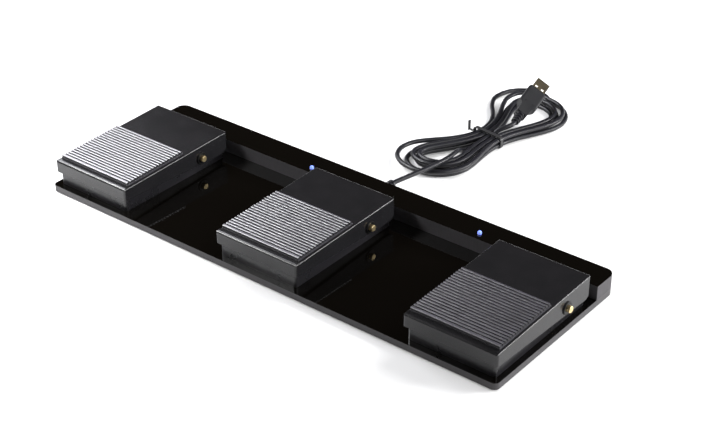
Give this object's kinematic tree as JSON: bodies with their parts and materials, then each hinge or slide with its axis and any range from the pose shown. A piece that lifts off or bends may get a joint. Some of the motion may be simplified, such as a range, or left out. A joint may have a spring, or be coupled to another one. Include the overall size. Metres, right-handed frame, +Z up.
{
  "type": "usb foot pedal switch",
  "caption": "Flat foot switch board with hinged steel pedals under ribbed rubber treads, a low rear housing with small lamps, and a cable wound into a hank that ends in a plug.",
  "frame": {"origin": "centre of the board on the floor, at the underside of its feet", "axes": "+X along the board to the right, +Y to the rear where the cable leaves, +Z up"},
  "size_m": [0.4086, 0.367, 0.0307],
  "materials": {
    "acrylic": "polished black sheet with matt cut edges",
    "cover_paint": "smooth black paint, satin",
    "tread": "moulded rubber with a slight sheen",
    "black_plastic": "moulded, fine grain",
    "pale_plastic": "moulded",
    "rubber": "moulded",
    "cable": "soft black jacket",
    "brass": "turned",
    "screw_steel": "plain steel",
    "plug_steel": "folded sheet, dull",
    "board": "solder mask",
    "lamp": "diffused lens"
  },
  "bodies": {
    "base": {"base_plate": "acrylic", "rubber_feet": "rubber", "housing_frame": "acrylic", "housing_lid": "acrylic", "housing_screws": "screw_steel", "board_pads": "pale_plastic", "circuit_board": "board", "controller_chip": "black_plastic", "board_connectors": "pale_plastic", "indicator_leds": "lamp", "left_tray": "black_plastic", "left_tray_screws": "screw_steel", "left_axle": "brass", "left_switch_body": "black_plastic", "left_switch_lead": "cable", "left_return_spring": "screw_steel", "left_stop_bumpers": "rubber", "middle_tray": "black_plastic", "middle_tray_screws": "screw_steel", "middle_axle": "brass", "middle_switch_body": "black_plastic", "middle_switch_lead": "cable", "middle_return_spring": "screw_steel", "middle_stop_bumpers": "rubber", "right_tray": "black_plastic", "right_tray_screws": "screw_steel", "right_axle": "brass", "right_switch_body": "black_plastic", "right_switch_lead": "cable", "right_return_spring": "screw_steel", "right_stop_bumpers": "rubber", "cable_inner": "cable", "cable_boot": "cable", "cable_lead": "cable", "cable_hank": "cable", "cable_tail": "cable", "cable_tie": "black_plastic", "plug_relief": "cable", "plug_grip": "black_plastic", "plug_shell": "plug_steel", "plug_tongue": "pale_plastic", "plug_contacts": "brass"},
    "left_pedal": {"left_cover": "cover_paint", "left_tread_pad": "tread", "left_pivot_bushings": "black_plastic"},
    "left_plunger": {"left_switch_plunger": "pale_plastic"},
    "middle_pedal": {"middle_cover": "cover_paint", "middle_tread_pad": "tread", "middle_pivot_bushings": "black_plastic"},
    "middle_plunger": {"middle_switch_plunger": "pale_plastic"},
    "right_pedal": {"right_cover": "cover_paint", "right_tread_pad": "tread", "right_pivot_bushings": "black_plastic"},
    "right_plunger": {"right_switch_plunger": "pale_plastic"}
  },
  "joints": [
    {"name": "left_press", "type": "hinge", "parent": "base", "child": "left_pedal", "pos_m": [-0.164, 0.0126, 0.018], "axis": [1, 0, 0], "range_deg": [0, 4.5], "stiffness_Nm_per_rad": 5.7, "springref_deg": -2.52, "deforming": ["left_return_spring"]},
    {"name": "left_plunge", "type": "slide", "parent": "base", "child": "left_plunger", "axis": [0, 0, -1], "range_m": [0, 0.00236]},
    {"name": "middle_press", "type": "hinge", "parent": "base", "child": "middle_pedal", "pos_m": [0, 0.0126, 0.018], "axis": [1, 0, 0], "range_deg": [0, 4.5], "stiffness_Nm_per_rad": 5.7, "springref_deg": -2.52, "deforming": ["middle_return_spring"]},
    {"name": "middle_plunge", "type": "slide", "parent": "base", "child": "middle_plunger", "axis": [0, 0, -1], "range_m": [0, 0.00236]},
    {"name": "right_press", "type": "hinge", "parent": "base", "child": "right_pedal", "pos_m": [0.164, 0.0126, 0.018], "axis": [1, 0, 0], "range_deg": [0, 4.5], "stiffness_Nm_per_rad": 5.7, "springref_deg": -2.52, "deforming": ["right_return_spring"]},
    {"name": "right_plunge", "type": "slide", "parent": "base", "child": "right_plunger", "axis": [0, 0, -1], "range_m": [0, 0.00236]}
  ],
  "couplings": [
    {"joint": "left_plunge", "follows": "left_press", "m_per_rad": 0.03},
    {"joint": "middle_plunge", "follows": "middle_press", "m_per_rad": 0.03},
    {"joint": "right_plunge", "follows": "right_press", "m_per_rad": 0.03}
  ]
}
